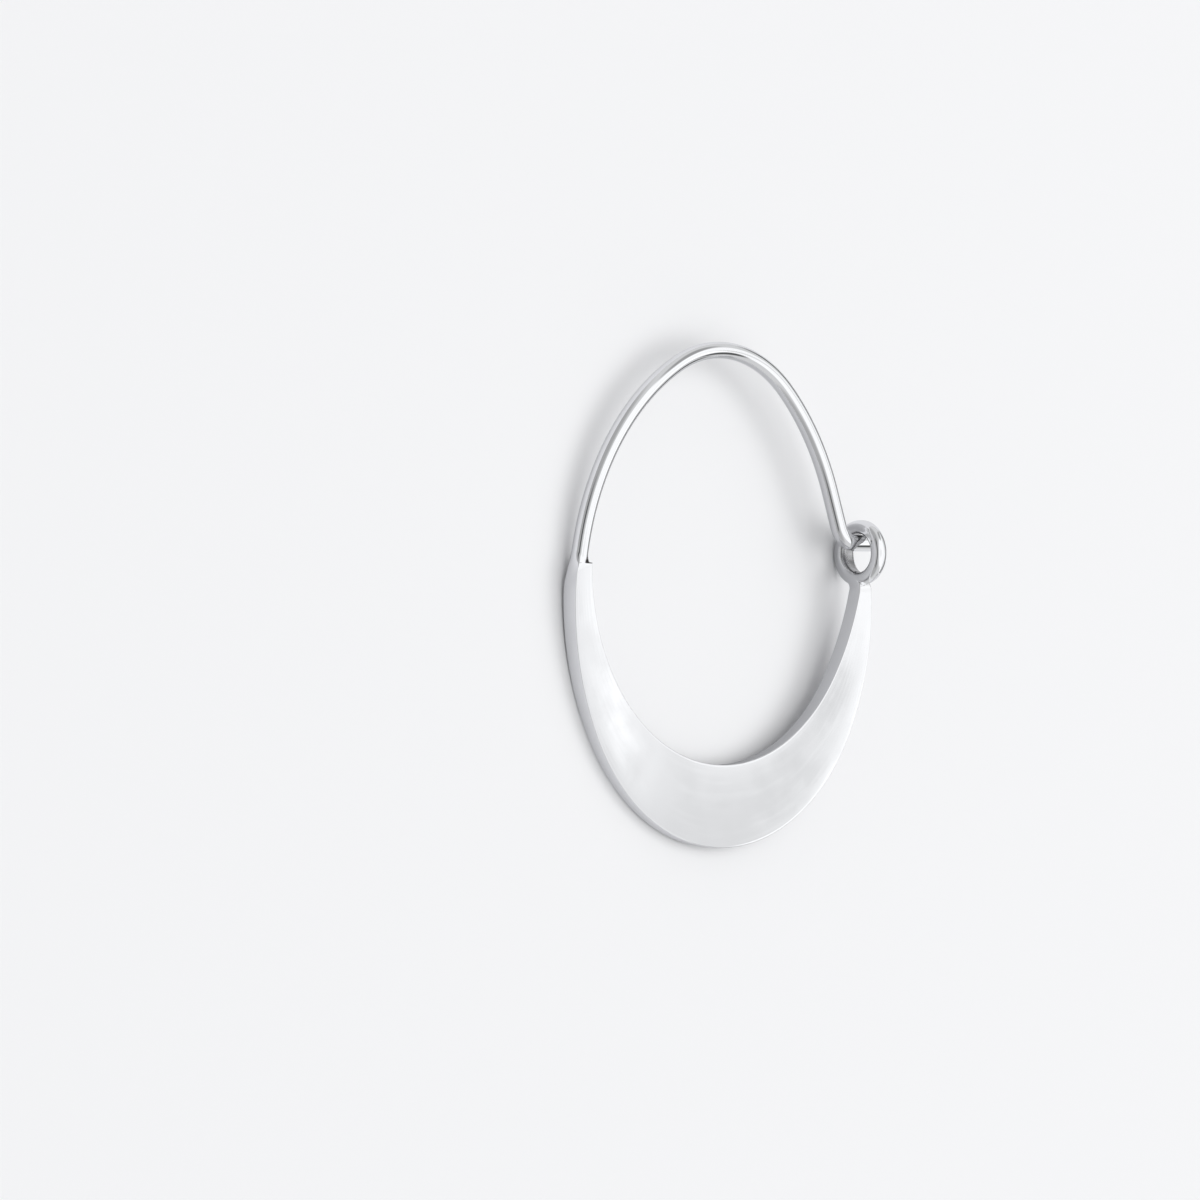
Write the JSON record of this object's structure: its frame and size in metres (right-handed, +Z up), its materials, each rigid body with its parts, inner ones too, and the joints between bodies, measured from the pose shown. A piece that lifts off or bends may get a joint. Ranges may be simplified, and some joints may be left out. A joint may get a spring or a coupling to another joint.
{
  "type": "creole hoop earring",
  "caption": "Open oval creole hoop earring: a flat polished silver crescent with a round ear wire that hooks into a catch eye.",
  "frame": {"origin": "centre of the bounding box in plan, on the floor that the hoop lies on", "axes": "+X from the ear wire's solder joint towards the catch eye, +Y from the crescent's bottom towards the top of the ear wire, +Z up, out of the floor and nearly square to the front face"},
  "size_m": [0.0224, 0.025, 0.0033],
  "materials": {
    "polished_silver": "polished white metal, bright and slightly cool, with faint polishing marks"
  },
  "bodies": {
    "root": {"creole_hoop": "polished_silver"}
  },
  "joints": []
}
